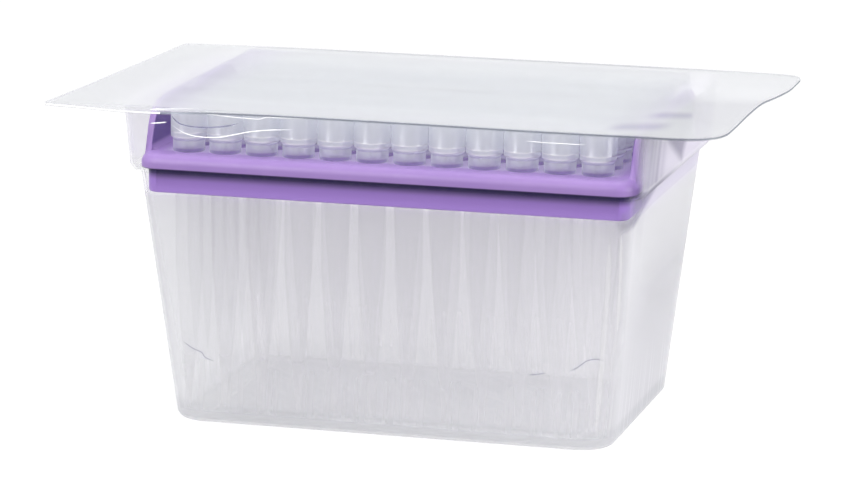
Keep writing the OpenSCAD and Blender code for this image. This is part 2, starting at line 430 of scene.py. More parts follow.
filmLook = {
    "waveScale": 38,
    "waveStretch": (1, 1.6, 1),
    "waveStrength": 0.3,
    "waveDepth": 0.0015,
    "leftEdge": -0.0575,                # the zone over the plate is milkier, and painted cooler and greyer for the plate seen through the film
    "leftSlant": (-0.25, -0.06425),
    "leftBlur": 0.0006,
    "rightSlant": 0.22,
    "rightEdge": (0.0655, 0.0640),
    "backEdge": (0.0430, 0.0400),
    "outsideVeil": 0.75,
    "cool": (0.83, 0.845, 0.855),
    # painted lilac beside the left edge, for the plate's end wall seen through the film
    "besideReach": 0.0160,
    "beside": (0.79, 0.77, 0.87),
    "lilac": (0.47, 0.45, 0.60),
    "lilacShare": 0.7,
    # painted blurred marks of the plate seen through the film: from and to along x, slope, place
    # along y, reach, share
    "markEnds": (0.002, 0.003),         # how far a mark fades out and in at its ends
    "marks": [(0.0535, 0.0660, -0.294, -0.0527, 0.0085, 1.0),
              (0.0590, 0.0700, -0.15, -0.0282, 0.0075, 1.0),
              (0.0570, 0.0660, 0.0, 0.003, 0.018, 0.35)],
}


def filmBump(tree, point):
    waves = noiseNode(tree, point, filmLook["waveScale"], filmLook["waveStretch"], 1.0, kind="2D")
    return bumpNode(tree, waves, filmLook["waveStrength"], filmLook["waveDepth"])


def filmInside(tree, point):
    # 1 over the plate and in front of it, 0 at the ends and at the back,
    # and how far a place lies inwards of the left edge
    look = filmLook
    x, y = splitPoint(tree, point)[:2]
    slant = mathNode(tree, "MULTIPLY_ADD", y, *look["leftSlant"])
    edge = largest(tree, slant, look["leftEdge"])
    inwards = mathNode(tree, "SUBTRACT", x, edge)
    lean = mathNode(tree, "MULTIPLY_ADD", y, look["rightSlant"], x)
    right = ramp(tree, lean, *look["rightEdge"])
    inside = product(tree, ramp(tree, inwards, -look["leftBlur"], look["leftBlur"]), right,
                     ramp(tree, y, *look["backEdge"]))
    return inside, inwards


def filmVeil(tree, point, factor):
    outside = filmLook["outsideVeil"]
    inside = filmInside(tree, point)[0]
    kept = mathNode(tree, "MULTIPLY_ADD", inside, 1 - outside, outside)
    return mathNode(tree, "MULTIPLY", factor, kept, clamp=True)


def filmMark(tree, x, y, low, high, slope, middle, reach, share):
    # a blurred band across the film, between two places along its length
    level = mathNode(tree, "MULTIPLY_ADD", x, slope, y)
    out, into = filmLook["markEnds"]
    ends = product(tree, ramp(tree, x, low - out, low + into),
                   ramp(tree, x, high + out, high - into))
    return product(tree, band(tree, level, middle, reach), ends, share)


def filmTint(tree, point, body):
    look = filmLook
    inside, inwards = filmInside(tree, point)
    x, y = splitPoint(tree, point)[:2]
    # painted: greyer and cooler over the plate, lilac beside its left edge, for the plate seen
    # through the film
    beside = product(tree, inside, ramp(tree, inwards, look["besideReach"], 0.0))
    cool = blend(tree, inside, body, look["cool"])
    shaded = blend(tree, beside, cool, look["beside"])
    # where the film lies on the right end wall the plate's colour is painted in, for the plate
    # seen through the film
    marks = largest(tree, *(filmMark(tree, x, y, *mark) for mark in look["marks"]))
    lilac = product(tree, marks, inside, look["lilacShare"])
    return blend(tree, lilac, shaded, look["lilac"])


trayPlastic = sheetMaterial(
    "trayPlastic", clear=(0.984, 0.984, 0.987), clearEdge=(0.94, 0.943, 0.95),
    body=(0.96, 0.962, 0.97), gloss=(0.93, 0.935, 0.95), veil=0.015, veilEdge=0.70, edgePower=3.0,
    glossShare=0.25, roughness=0.14, passing=0.92, bump=trayBump, change=trayVeil,
    tint=trayTint, thinner=trayThinner)
filmPlastic = sheetMaterial(
    "filmPlastic", clear=(0.985, 0.985, 0.99), clearEdge=(0.95, 0.95, 0.96),
    body=(0.985, 0.99, 0.995), gloss=(0.94, 0.96, 0.97), veil=0.12, veilEdge=0.95, edgePower=2.2,
    glossShare=0.35, roughness=0.16, passing=0.40, bump=filmBump, change=filmVeil, tint=filmTint)


tipLook = {
    "outerRow": (0.0265, 0.0275),       # how far out the outermost rows and columns start
    "outerColumn": (0.0445, 0.0455),
    "shaftShare": 0.9,
    "collarHeight": (0.0648, 0.0654),
    "collar": 0.44,
    "rimHeight": (0.0682, 0.0690),
    "rim": 0.14,
    "coneHeight": (0.024, 0.008),
    "coneLength": (0.060, -0.040),
    "cone": (0.1, 0.4),
    "cool": (0.94, 0.975, 1.0),
    "coolHeight": (0.0640, 0.0656),
    "stepShade": (0.0682, 0.0005, 0.55),   # painted shade under the collar step: height, reach, share
    "neckHeight": (0.0680, 0.0655),
    "neck": (0.04, 0.16),
    "footHeight": (0.0665, 0.0659),
    "foot": 0.85,
    "deep": (0.42, 0.34, 0.66),         # the plate's colour, painted on the necks for the plate seen through them
    "shaftHeight": (0.016, 0.026),
    "shaft": (0.92, 0.915, 0.925),
    "collarFrom": (0.0640, 0.0652),
    "boreHeight": (0.0670, 0.0690),
    "bore": 0.08,
}


def tipVeil(tree, point, factor):
    # the outermost row shows its haze, those inside are clear,
    # and the thick collars are hazy everywhere
    look = tipLook
    x, y, z = splitPoint(tree, point)
    outer = largest(tree, ramp(tree, away(tree, y), *look["outerRow"]),
                    ramp(tree, away(tree, x), *look["outerColumn"]))
    shaft = product(tree, factor, outer, look["shaftShare"])
    collar = total(tree, ramp(tree, z, *look["collarHeight"], 0.0, look["collar"]),
                   ramp(tree, z, *look["rimHeight"], 0.0, look["rim"]))
    front = ramp(tree, y, *(-place for place in look["outerRow"]))
    cone = product(tree, front, ramp(tree, z, *look["coneHeight"]),
                   ramp(tree, x, *look["coneLength"], *look["cone"]))
    return mathNode(tree, "ADD", total(tree, shaft, collar), cone, clamp=True)


def tipTint(tree, point, body):
    # the thick collars are cooler; near the deck the necks and feet are painted in the plate's
    # colour, for the plate and its holes seen through them, with a painted shade under the collar
    # step
    look = tipLook
    z = splitPoint(tree, point)[2]
    collar = blend(tree, ramp(tree, z, *look["coolHeight"]), body, look["cool"])
    height, reach, share = look["stepShade"]
    stepShade = product(tree, band(tree, z, height, reach), share)
    neck = ramp(tree, z, *look["neckHeight"], *look["neck"])
    middle = mathNode(tree, "SUBTRACT", 1.0, edgeWeight(tree, 2.0))
    foot = product(tree, ramp(tree, z, *look["footHeight"], 0.0, look["foot"]), middle)
    deep = blend(tree, largest(tree, neck, stepShade, foot), collar, look["deep"])
    # painted shade: the front row's shafts are a little greyer than its cones
    shaft = blend(tree, ramp(tree, z, *look["shaftHeight"]), body, look["shaft"])
    return blend(tree, ramp(tree, z, *look["collarFrom"]), shaft, deep)


def boreVeil(tree, point, factor):
    # only the wide mouth of the bore shows itself
    return ramp(tree, splitPoint(tree, point)[2], *tipLook["boreHeight"], 0.0, tipLook["bore"])


tipPlastic = sheetMaterial(
    "tipPlastic", clear=(0.996, 0.9955, 0.997), clearEdge=(0.985, 0.985, 0.986),
    body=(0.985, 0.985, 0.985), gloss=(0.97, 0.97, 0.98), veil=0.12, veilEdge=0.24, edgePower=2.0,
    glossShare=0.2, roughness=0.25, passing=0.75, change=tipVeil, tint=tipTint)
borePlastic = sheetMaterial(
    "tipBorePlastic", clear=(0.999, 0.9985, 0.9995), clearEdge=(0.995, 0.995, 0.995),
    body=(0.985, 0.985, 0.985), gloss=(0.97, 0.97, 0.98), veil=0.0, veilEdge=0.0, edgePower=2.0,
    glossShare=0.3, roughness=0.2, change=boreVeil)
paleSheet = {"clear": (0.99, 0.99, 0.99), "clearEdge": (0.98, 0.98, 0.98),
             "body": (0.95, 0.95, 0.95), "roughness": 0.35}
# painted soft highlight lines down the front wall near its right corner
softHighlightPlastic = sheetMaterial("traySoftGlint", **paleSheet, veil=0.22, veilEdge=0.0, edgePower=0.8,
                            glossShare=0.6)
# painted highlight: on the bright creases, the left part of the flange's cut edge and the film's
# fold
highlightPlastic = sheetMaterial("trayHighlight", **paleSheet, veil=0.85, veilEdge=0.95,
                              glossShare=0.85)
# painted shade on the dark creases
creaseShadePlastic = sheetMaterial(
    "trayCreaseShade", clear=(0.82, 0.82, 0.90), clearEdge=(0.75, 0.75, 0.85),
    body=(0.30, 0.29, 0.45), gloss=(0.55, 0.56, 0.65), veil=0.35, veilEdge=0.3, glossShare=0.3)
# painted glint: a hazier, glossier copy of the tip plastic on the rings under the collars
glintPlastic = sheetMaterial(
    "tipGlintPlastic", clear=(0.999, 0.999, 0.998), clearEdge=(0.99, 0.99, 0.99),
    body=(0.97, 0.97, 0.98), veil=0.55, veilEdge=0.7, glossShare=0.8)
# painted reflection: the dark lower strip of the flange's cut edge
cutPlastic = sheetMaterial(
    "trayCutEdge", clear=(0.85, 0.87, 0.88), clearEdge=(0.8, 0.83, 0.85),
    body=(0.13, 0.15, 0.18), gloss=(0.42, 0.45, 0.50), veil=0.7, veilEdge=0.8, glossShare=0.3)


plateLook = {
    "colour": (0.45, 0.285, 0.67),
    "deep": (0.42, 0.262, 0.645),       # the cloudy share of it
    # painted light: the skirt's own copy of the colour, set for the light it takes below the lip
    "skirt": (0.415, 0.243, 0.71),
    "underLipShade": (0.012, 0.001, 0.09),    # painted shade for the strip between skirt and lip
    # painted shade on the inner faces of the end walls
    "innerWallShade": (0.16, 0.085, 0.36),
    # painted light on the deck between the tips, as their haze lightens it
    "deckLight": (0.72, 0.64, 0.86),
    "skirtTop": (0.0588, 0.0612),
    "lipFoot": (0.0617, 0.0621),
    "deckHeight": (0.0650, 0.0652),
    "deckSides": (0.0350, 0.0325),
    "deckEnds": (0.0560, 0.0530),
    "deckShare": 0.6,
    "wallFace": (0.0577, 0.0003),
    "wallFoot": (0.0660, 0.0672),
    "roughness": (0.34, 0.48),
    "cloudScale": 70,
    "cloudCut": (0.3, 0.7),
    "speckScale": 900,
    "speckCut": (0.2, 0.8),
    "grainScale": 2600,
    "flowScale": 30,
    "flowStretch": (1, 3, 3),
    "flowShare": 2.0,                   # how much of the bump is flow, against the grain
    "bumpStrength": 0.22,
    "bumpDepth": 0.00012,
}


def satinMaterial(name, look):
    # moulded plastic with a fine grain and slight cloudiness, with painted shade under the lip
    # and on the inner faces of the end walls, painted light on the deck between the tips, and its
    # own colour on the skirt for the light it takes
    material = bpy.data.materials.new(name)
    tree = nodeTree(material)
    point = objectPoint(tree)
    cloud = noiseNode(tree, point, look["cloudScale"], (1, 1, 1), 4, 0.6)
    clouded = blend(tree, ramp(tree, cloud, *look["cloudCut"]), look["deep"], look["colour"])
    x, y, z = splitPoint(tree, point)
    skirt = ramp(tree, z, *look["skirtTop"], 1.0, 0.0)
    lip = ramp(tree, z, *look["lipFoot"])
    # painted light: the skirt below the lip has its own copy of the colour
    sides = blend(tree, lip, look["skirt"], clouded)
    # painted light: the deck between the tips is lighter
    between = product(tree, ramp(tree, z, *look["deckHeight"]),
                      ramp(tree, away(tree, y), *look["deckSides"]),
                      ramp(tree, away(tree, x), *look["deckEnds"]), look["deckShare"])
    decked = blend(tree, between, sides, look["deckLight"])
    # painted shade: the strip under the lip takes a dark colour
    lit = blend(tree, largest(tree, skirt, lip), look["underLipShade"], decked)
    # painted shade on the inner faces of the end walls, above their foot
    wallFace = product(tree, band(tree, away(tree, x), *look["wallFace"]),
                       ramp(tree, z, *look["wallFoot"]))
    shaded = blend(tree, wallFace, lit, look["innerWallShade"])
    speck = noiseNode(tree, point, look["speckScale"])
    grain = noiseNode(tree, point, look["grainScale"])
    flow = noiseNode(tree, point, look["flowScale"], look["flowStretch"])
    height = mathNode(tree, "MULTIPLY_ADD", flow, look["flowShare"], grain)
    shader = addNode(tree, "ShaderNodeBsdfPrincipled", {
        "IOR": 1.49, "Base Color": shaded,
        "Roughness": ramp(tree, speck, *look["speckCut"], *look["roughness"]),
        "Normal": bumpNode(tree, height, look["bumpStrength"], look["bumpDepth"])})
    addNode(tree, "ShaderNodeOutputMaterial", {"Surface": shader.outputs[0]})
    return material


platePlastic = satinMaterial("platePlastic", plateLook)
print("materials ready")


def meshObject(name, points, faces, materials, slots, smoothAngle=40):
    mesh = bpy.data.meshes.new(name)
    mesh.from_pydata([tuple(p) for p in points], [], faces)
    for material in materials:
        mesh.materials.append(material)
    mesh.polygons.foreach_set("material_index", slots)
    smoothed(mesh, smoothAngle)
    mesh.validate()
    mesh.update()
    return addObject(name, mesh)


def finishPiece(piece, slotName, *nodes):
    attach(piece, "root")
    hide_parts(*nodes)


def tubeMesh(points, radius, sides=8):
    # a thin rib along a line of points, thinned out to nothing at both ends
    points = np.array(points, float)
    count = len(points)
    along = np.gradient(points, axis=0)
    along /= np.linalg.norm(along, axis=1, keepdims=True)
    up = np.array([0.0, 0.0, 1.0])
    vertices, faces = [], []
    for place, (point, step) in enumerate(zip(points, along)):
        side = np.cross(step, up if abs(step[2]) < 0.9 else np.array([0.0, 1.0, 0.0]))
        side /= np.linalg.norm(side)
        other = np.cross(side, step)
        size = radius * min(1.0, 0.15 + 6.0 * min(place, count - 1 - place) / count)
        for i in range(sides):
            a = 2 * math.pi * i / sides
            vertices.append(point + size * (side * math.cos(a) + other * math.sin(a)))
    for k in range(count - 1):
        for i in range(sides):
            j = (i + 1) % sides
            faces.append((k * sides + i, k * sides + j, (k + 1) * sides + j, (k + 1) * sides + i))
    faces.append(tuple(range(sides - 1, -1, -1)))
    faces.append(tuple((count - 1) * sides + i for i in range(sides)))
    return np.array(vertices), faces


def doubleSkin(count, n):
    # faces of two skins of rings: the outer one, and the inner one turned round behind it
    faces = []
    offset = count * n
    for k in range(count - 1):
        for i in range(n):
            j = (i + 1) % n
            a, b, c, d = k * n + i, k * n + j, (k + 1) * n + j, (k + 1) * n + i
            faces.append((a, b, c, d))
            faces.append((offset + a, offset + d, offset + c, offset + b))
    return faces


def addTube(points, faces, slots, line, radius, slot):
    # adds a tube along a line to a piece's points, faces and material slots
    vertices, tubeFaces = tubeMesh(line, radius)
    faces += [tuple(v + len(points) for v in face) for face in tubeFaces]
    slots += [slot] * len(tubeFaces)
    return np.concatenate([points, vertices * mm])


def smoothStep(value):
    value = np.clip(value, 0, 1)
    return value * value * (3 - 2 * value)


tray = {
    "wallTop": (59.7, 39.8, 4.0),     # half length, half depth, corner radius at the ledge
    "foot": (53.6, 34.9, 8.6),
    "bendHeight": 61.1,
    "bendGap": 0.9,                   # from the wall's last even ring up to the bend
    "footRadius": 2.0,
    "panelRise": 1.2,
    "panelInset": 8.0,
    "panelSlope": 1.4,
    "panelCorner": 4.0,
    "shoulderStep": 2.7,
    "mouthFlare": 1.1,
    "shoulderRise": 1.5,              # from the bend up to the shoulder
    "upperFrom": 2.6,                 # from the bend up to the upper wall
    "mouthDrop": 1.2,                 # from the flange down to the upper wall's end
    "flangeFrom": 1.2,                # how far beyond the mouth the flange starts
    "flangeHeight": 76.9,             # underside of the flange
    "sheet": 0.6,
    "edgeSplit": 0.35,                # how far up the cut edge its painted dark strip starts
    "brightUpTo": -53.0,              # the left part of the cut edge carries a painted highlight all over
    "longSteps": 72,
    "shortSteps": 44,
    "cornerSteps": 12,
    "ledgeOut": (0.05, 1.5),          # how far out its two bends lie
    "mouthOut": 0.15,
    # roundness of the panel's two bends, the ledge's two, the shoulder's and the mouth's
    "rounds": (0.7, 0.7, 0.5, 0.35, 0.9, 0.75),
    "panelRings": (0.02, 0.2, 0.4, 0.6, 0.8, 0.95),
    "arcSteps": 10,
    "wallSteps": 25,
    "upperSteps": 12,
    "brimSteps": 14,
}
flange = {
    "halfLength": 83.2,
    "halfDepth": 47.6,
    # corners of the cut edge: place and radius, from the back right round to the front right
    "corners": [(82.9, 47.6, 7.0), (-76.6, 47.2, 1.6), (-81.4, -44.2, 1.6), (80.6, -46.6, 12.0)],
    # points of each side between its corners, and how far each lies below the flat
    "back": [(56, 47.6, 0.0), (0, 47.6, 0.0), (-46, 47.3, 0.0)],
    "left": [(-77.6, 30, 0.5), (-79.0, 2, 0.6), (-79.9, -20, 0.6)],
    "front": [(-71.2, -46.6, 0.4), (-60, -47.6, 0.6), (-52.8, -47.6, 0.6), (-41.3, -47.6, 0.1),
              (-24, -46.4, 0.0), (5, -46.4, 0.0), (30, -47.0, 0.0), (45, -47.1, 0.0),
              (62.9, -46.7, 0.0)],
    "right": [(80.5, -27, 0.0), (80.2, -10, 0.0), (80.4, 5, 0.0), (81.9, 15, 0.1),
              (83.1, 26, 0.2), (83.1, 36, 0.2)],
    "cornerDrop": [0.2, 0.3, 0.6, 0.0],
}


def ringPoints(station, longSteps, shortSteps, cornerSteps):
    # counter-clockwise round a rounded rectangle, from the middle of the right side
    x, y, r, z = station
    r = max(r, 0.05)
    half = shortSteps // 2
    points = [(x, (y - r) * i / half) for i in range(half)]
    corners = [((1, 1), 0), ((-1, 1), 90), ((-1, -1), 180), ((1, -1), 270)]
    sides = [
        lambda t: ((x - r) * (1 - 2 * t), y),
        lambda t: (-x, (y - r) * (1 - 2 * t)),
        lambda t: ((x - r) * (2 * t - 1), -y),
    ]
    steps = [longSteps, shortSteps, longSteps]
    for place, ((sx, sy), start) in enumerate(corners):
        for i in range(cornerSteps):
            a = math.radians(start + 90 * i / cornerSteps)
            points.append((sx * (x - r) + r * math.cos(a), sy * (y - r) + r * math.sin(a)))
        if place < 3:
            points += [sides[place](i / steps[place]) for i in range(steps[place])]
    points += [(x, -(y - r) * (1 - i / half)) for i in range(half)]
    return np.array([(px, py, z) for px, py in points])


def grown(base, amount, z):
    return (base[0] + amount, base[1] + amount, base[2] + amount, z)


def trayStations():
    # the outside of the sheet, from the middle of the floor to the flange's edge
    t = tray
    bend = t["bendHeight"]

    def wallAt(z):
        share = z / bend
        return tuple(f + (w - f) * share for f, w in zip(t["foot"], t["wallTop"]))

    low = wallAt(t["footRadius"])
    inset = t["panelInset"]
    panelLow = (low[0] - inset, low[1] - inset, t["panelCorner"])
    panelTop = tuple(v - t["panelSlope"] for v in panelLow)
    shoulder = tuple(v + t["shoulderStep"] for v in t["wallTop"])
    top = t["flangeHeight"]
    # each station with how much its corner is rounded
    keys = [((*(v * share for v in panelTop), t["panelRise"]), 0) for share in t["panelRings"]]
    rounds = t["rounds"]
    keys += [((*panelTop, t["panelRise"]), rounds[0]), ((*panelLow, 0.0), rounds[1])]
    radius = t["footRadius"]
    for a in np.linspace(0, math.pi / 2, t["arcSteps"] + 1):
        keys.append((grown(low, -radius * (1 - math.sin(a)), radius * (1 - math.cos(a))), 0))
    for i in range(1, t["wallSteps"] + 1):
        z = radius + (bend - t["bendGap"] - radius) * i / t["wallSteps"]
        keys.append(((*wallAt(z), z), 0))
    keys += [(grown(t["wallTop"], out, bend), r) for out, r in zip(t["ledgeOut"], rounds[2:4])]
    keys.append((grown(shoulder, 0.0, bend + t["shoulderRise"]), rounds[4]))
    foot, head = bend + t["upperFrom"], top - t["mouthDrop"]
    for i in range(1, t["upperSteps"]):
        share = i / t["upperSteps"]
        keys.append((grown(shoulder, t["mouthFlare"] * share, foot + (head - foot) * share), 0))
    keys += [(grown(shoulder, t["mouthFlare"] + t["mouthOut"], top), rounds[5]),
             (grown(shoulder, t["mouthFlare"] + t["flangeFrom"], top), 0)]
    stations = []
    for place, (station, rounding) in enumerate(keys):
        if not rounding:
            stations.append(station)
            continue
        here, before, after = (np.array(keys[place + o][0]) for o in (0, -1, 1))

        def towards(other):
            step = other - here
            size = max(np.hypot(step[0], step[3]), 1e-6)
            return here + step * min(rounding / size, 0.45)

        first, last = towards(before), towards(after)
        for i in range(6):
            s = i / 5
            stations.append(tuple((1 - s) ** 2 * first + 2 * s * (1 - s) * here + s * s * last))
    return stations


def throughPoints(knots, count, between=24):
    # a smooth run through the knots, evenly spaced, without its last point
    knots = np.array(knots, float)
    padded = np.vstack([2 * knots[0] - knots[1], knots, 2 * knots[-1] - knots[-2]])
    fine = []
    for k in range(1, len(padded) - 2):
        p0, p1, p2, p3 = padded[k - 1:k + 3]
        for t in np.linspace(0, 1, between, endpoint=False):
            fine.append(0.5 * (2 * p1 + (p2 - p0) * t + (2 * p0 - 5 * p1 + 4 * p2 - p3) * t ** 2
                               + (3 * p1 - p0 - 3 * p2 + p3) * t ** 3))
    fine.append(knots[-1])
    fine = np.array(fine)
    lengths = np.concatenate([[0], np.cumsum(np.linalg.norm(np.diff(fine, axis=0), axis=1))])
    places = np.linspace(0, lengths[-1], count, endpoint=False)
    return np.stack([np.interp(places, lengths, fine[:, a]) for a in range(3)], axis=1)


def rimOutline():
    # the flange's cut edge, point for point like ringPoints, with its third value the drop
    f = flange
    corners = [np.array([x, y, drop]) for (x, y, r), drop in zip(f["corners"], f["cornerDrop"])]
    radii = [r for x, y, r in f["corners"]]
    sides = [f["right"], f["back"], f["left"], f["front"]]      # before each corner

    def towards(corner, point, size):
        step = np.array(point, float) - corner
        return corner + step * size / np.hypot(step[0], step[1])

    ends = []
    for k in range(4):
        ends.append((towards(corners[k], sides[k][-1], radii[k]),
                     towards(corners[k], sides[(k + 1) % 4][0], radii[k])))
    runs, arcs = [], []
    counts = [tray["shortSteps"], tray["longSteps"], tray["shortSteps"], tray["longSteps"]]
    for k in range(4):
        knots = [ends[k - 1][1], *sides[k], ends[k][0]]
        runs.append(throughPoints(knots, counts[k]))
        arc = []
        for i in range(tray["cornerSteps"]):
            t = i / tray["cornerSteps"]
            arc.append((1 - t) ** 2 * ends[k][0] + 2 * t * (1 - t) * corners[k]
                       + t * t * ends[k][1])
        arcs.append(np.array(arc))
    half = tray["shortSteps"] // 2
    right = runs[0]
    outline = np.concatenate([right[half:], arcs[0], runs[1], arcs[1], runs[2], arcs[2],
                              runs[3], arcs[3], right[:half]])
    outline[:, 0] = np.clip(outline[:, 0], -f["halfLength"], f["halfLength"])
    outline[:, 1] = np.clip(outline[:, 1], -f["halfDepth"], f["halfDepth"])
    outline[:, 2] = np.maximum(outline[:, 2], 0)
    return outline


def flangeRings(level):
    # the rings of the flange, from the mouth to the cut edge
    shoulder = [v + tray["shoulderStep"] for v in tray["wallTop"]]
    start = ringPoints(grown(shoulder, tray["mouthFlare"] + tray["flangeFrom"], 0),
                       tray["longSteps"], tray["shortSteps"], tray["cornerSteps"])
    edge = rimOutline()
    rings = []
    for share in np.linspace(0, 1, tray["brimSteps"] + 1):
        ring = start + (edge - start) * share
        ring[:, 2] = level - edge[:, 2] * smoothStep(share)
        rings.append(ring)
    return rings


def shellNormals(rings):
    around = np.roll(rings, -1, axis=1) - np.roll(rings, 1, axis=1)
    along = np.gradient(rings, axis=0)
    normals = np.cross(around, along)
    sizes = np.linalg.norm(normals, axis=2, keepdims=True)
    return normals / np.maximum(sizes, 1e-12)


# creases pressed into the front wall, the dark ones with painted shade and the bright ones with a
# painted highlight, and two soft painted highlights down the front wall near its right corner:
# radius, look, and places along x and z
creases = [
    (0.15, "dark", [(-50.1, 76.2), (-48.9, 74.5), (-47.1, 73.5), (-43.8, 73.1), (-39.6, 73.3),
                    (-35.8, 73.9), (-33.1, 74.7)]),
    (0.12, "bright", [(-49.9, 73.5), (-48.1, 72.2), (-45.7, 71.2), (-42.4, 70.8), (-38.2, 71.0),
                      (-35.0, 71.7), (-30.8, 72.7), (-26.1, 73.4), (-19.7, 73.9)]),
    (0.12, "bright", [(-44.2, 76.5), (-39.5, 76.3), (-34.4, 76.0), (-30.7, 75.9), (-28.3, 75.9),
                      (-26.5, 76.4), (-22.3, 76.5), (-15.9, 76.6)]),
    (0.10, "bright", [(35.2, 74.4), (39.7, 74.3), (49.5, 74.3)]),
    (0.09, "dark", [(34.9, 17.9), (37.0, 18.2), (39.0, 18.7)]),
    (0.09, "dark", [(44.6, 19.5), (46.2, 20.3), (47.6, 21.4), (49.0, 22.4), (51.1, 22.9),
                    (53.2, 22.5)]),
    (0.09, "dark", [(-49.3, 19.9), (-47.1, 18.4), (-44.9, 17.6), (-44.1, 16.4), (-41.7, 15.6)]),
    (0.16, "bright", [(-55.0, 73.4), (-53.0, 73.6), (-50.9, 73.9)]),
    (0.75, "soft", [(51.0, 5.0), (52.2, 20.0), (53.6, 38.0), (54.3, 53.5)]),
    (0.50, "soft", [(56.0, 30.0), (56.6, 40.0), (57.0, 53.5)]),
]
creaseSlots = {"dark": 3, "bright": 2, "soft": 4}       # material slots of the tray
creaseSteps = 40


def frontWall(height):
    # y of the outside of the front wall at a height
    if height < tray["bendHeight"]:
        share = height / tray["bendHeight"]
        return -(tray["foot"][1] + (tray["wallTop"][1] - tray["foot"][1]) * share)
    low = tray["bendHeight"] + tray["upperFrom"]
    share = (height - low) / (tray["flangeHeight"] - tray["mouthDrop"] - low)
    return -(tray["wallTop"][1] + tray["shoulderStep"] + tray["mouthFlare"] * share)


def makeTray():
    steps = (tray["longSteps"], tray["shortSteps"], tray["cornerSteps"])
    walls = [ringPoints(s, *steps) for s in trayStations()]
    rings = np.array(walls + flangeRings(tray["flangeHeight"])[1:])
    normals = shellNormals(rings)
    inner = rings - normals * tray["sheet"]
    inner[:, :, 1] = np.clip(inner[:, :, 1], -flange["halfDepth"], flange["halfDepth"])
    count, n = rings.shape[:2]
    edgeLine = rings[-1] + (inner[-1] - rings[-1]) * tray["edgeSplit"]
    points = np.concatenate([rings.reshape(-1, 3), inner.reshape(-1, 3), edgeLine]) * mm
    faces = doubleSkin(count, n)
    slots = [0] * len(faces)
    offset = count * n
    last = (count - 1) * n
    line = 2 * offset
    for i in range(n):
        j = (i + 1) % n
        # the cut edge: a painted dark strip below, and a painted highlight on its left part
        bright = rings[-1, i, 0] < tray["brightUpTo"]
        faces.append((last + i, last + j, line + j, line + i))
        faces.append((line + i, line + j, offset + last + j, offset + last + i))
        slots += [0, 2 if bright else 1]
    faces.append(tuple(range(n - 1, -1, -1)))
    faces.append(tuple(offset + i for i in range(n)))
    slots += [0, 0]
    for radius, look, places in creases:
        knots = [(x, frontWall(z), z) for x, z in places]
        points = addTube(points, faces, slots, throughPoints(knots, creaseSteps), radius,
                         creaseSlots[look])
    skins = [trayPlastic, cutPlastic, highlightPlastic, creaseShadePlastic, softHighlightPlastic]
    piece = meshObject("trayShell", points, faces, skins, slots, smoothAngle=50)
    finishPiece(piece, "tray_plastic", "tray")
    print("tray ready:", len(faces), "faces")


makeTray()


film = {
    "bottom": 77.5,
    "thickness": 0.2,
    "sag": 0.35,
    "waves": (0.035, 0.06),           # how close they lie along x and y
    "wavePhase": 3.1,
    "waveShare": (0.7, 0.9),          # the even share of the sag and the waved one
    "sagReach": 0.4,                  # how far in, of the whole, the sag is full
    "spine": 22.0,                    # half length of the line that the rings close on
    # a fold along the film's front left edge, carrying a painted highlight
    "ringSteps": 34,
    "fold": [(-54.0, -46.3, 77.2), (-50.5, -45.6, 77.25), (-47.0, -44.6, 77.35),
             (-43.0, -43.5, 77.4)],
    "foldRadius": 0.28,
}


def makeFilm():
    rings = flangeRings(0.0)[::-1]
    mouth = rings[-1]
    spine = mouth.copy()
    spine[:, 0] = np.clip(mouth[:, 0], -film["spine"], film["spine"])
    spine[:, 1] = 0
    (alongX, alongY), (even, waved) = film["waves"], film["waveShare"]
    for i in range(1, film["ringSteps"] + 1):
        share = i / film["ringSteps"]
        ring = mouth + (spine - mouth) * min(share, 0.995)
        sag = film["sag"] * smoothStep(share / film["sagReach"])
        for p in ring:
            soft = noise.noise(Vector((p[0] * alongX, p[1] * alongY, film["wavePhase"])))
            p[2] = -sag * (even + waved * soft)
        rings.append(ring)
    upper = np.array(rings)
    upper[:, :, 2] += film["bottom"] + film["thickness"]
    upper[:, :, 2] = np.minimum(upper[:, :, 2], film["bottom"] + film["thickness"])
    lower = upper.copy()
    lower[:, :, 2] -= film["thickness"]
    count, n = upper.shape[:2]
    points = np.concatenate([upper.reshape(-1, 3), lower.reshape(-1, 3)]) * mm
    offset = count * n
    faces = doubleSkin(count, n)
    for i in range(n):
        j = (i + 1) % n
        faces.append((i, offset + i, offset + j, j))
    last = (count - 1) * n
    faces.append(tuple(last + i for i in range(n)))
    faces.append(tuple(offset + last + i for i in range(n - 1, -1, -1)))
    slots = [0] * len(faces)
    points = addTube(points, faces, slots, throughPoints(film["fold"], creaseSteps),
                     film["foldRadius"], 1)
    piece = meshObject("lidFilm", points, faces, [filmPlastic, highlightPlastic], slots)
    finishPiece(piece, "lid_film", "lid_film")
    print("film ready")


makeFilm()


plate = {
    "deck": 65.3,
    "lipMiddle": 63.5,
    "endWallTop": 76.1,
    "endWallFrom": 56.5,          # only the end walls lie this far out above the lip's middle
    "endWallHalf": 30.0,
    "endWallStraight": 24.0,      # up to here an end wall stays as it is
    "endWallLean": 5.0,           # how much further it reaches at the deck than at its top
    "merge": 1e-6,                # points this near, in metres, become one
    "flat": 1.0,                  # and so do faces within this angle, in degrees
    "sharp": 35,
}


